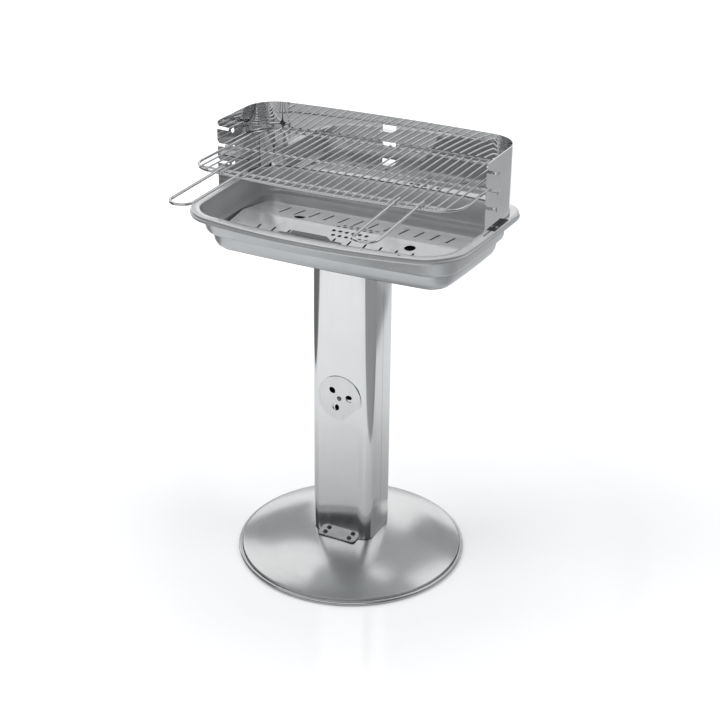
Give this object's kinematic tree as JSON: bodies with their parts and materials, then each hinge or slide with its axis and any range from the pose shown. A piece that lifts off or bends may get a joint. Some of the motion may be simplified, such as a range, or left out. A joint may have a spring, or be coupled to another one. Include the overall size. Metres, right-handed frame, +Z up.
{
  "type": "charcoal grill",
  "caption": "Charcoal grill: wire cooking grid with folding handles, windshield with notched height levels, fire bowl with charcoal plate, column with air damper, round domed foot.",
  "frame": {"origin": "centre of the round foot, on the floor", "axes": "+Z up along the column, -Y towards the front with the handles, +X to the right seen from behind the handles' side looking along +Y"},
  "size_m": [0.5788, 0.5587, 0.871],
  "materials": {
    "foot_steel": "polished",
    "column_steel": "polished",
    "damper_steel": "satin",
    "bowl_steel": "satin",
    "plate_steel": "satin",
    "windshield_steel": "polished",
    "wire_chrome": "bright plated",
    "bracket_steel": "satin",
    "screw_steel": "dark"
  },
  "bodies": {
    "stand": {"base_disc": "foot_steel", "foot_bracket_front": "bracket_steel", "foot_bracket_rear": "bracket_steel", "foot_screws": "screw_steel", "foot_nuts": "screw_steel", "column_front_shell": "column_steel", "column_rear_shell": "column_steel", "column_top_bracket": "bracket_steel", "damper_rivet": "bracket_steel", "damper_washer": "bracket_steel", "fire_bowl": "bowl_steel", "bowl_bolts": "screw_steel", "bowl_nuts": "screw_steel", "windshield": "windshield_steel", "windshield_screws": "bracket_steel", "windshield_nuts": "screw_steel"},
    "damper": {"damper_disc": "damper_steel"},
    "plate": {"charcoal_plate": "plate_steel"},
    "grid": {"grid_rim_sides": "wire_chrome", "grid_rim_bows": "wire_chrome", "grid_bars": "wire_chrome", "grid_support_wire": "wire_chrome"},
    "left_handle": {"handle_left": "wire_chrome"},
    "right_handle": {"handle_right": "wire_chrome"}
  },
  "joints": [
    {"name": "damper_turn", "type": "hinge", "parent": "stand", "child": "damper", "pos_m": [0, -0.054, 0.36], "axis": [0, -1, 0], "continuous": true},
    {"name": "plate_lift", "type": "slide", "parent": "stand", "child": "plate", "axis": [0, 0, 1], "range_m": [0, 0.04]},
    {"name": "grid_pull", "type": "slide", "parent": "stand", "child": "grid", "axis": [0, -0.9336, 0.3584], "range_m": [0, 0.06]},
    {"name": "left_handle_fold", "type": "hinge", "parent": "grid", "child": "left_handle", "pos_m": [0, -0.13, 0.81448], "axis": [1, 0, 0], "range_deg": [-170, 0]},
    {"name": "right_handle_fold", "type": "hinge", "parent": "grid", "child": "right_handle", "pos_m": [0, -0.13, 0.81448], "axis": [1, 0, 0], "range_deg": [-170, 0]}
  ]
}
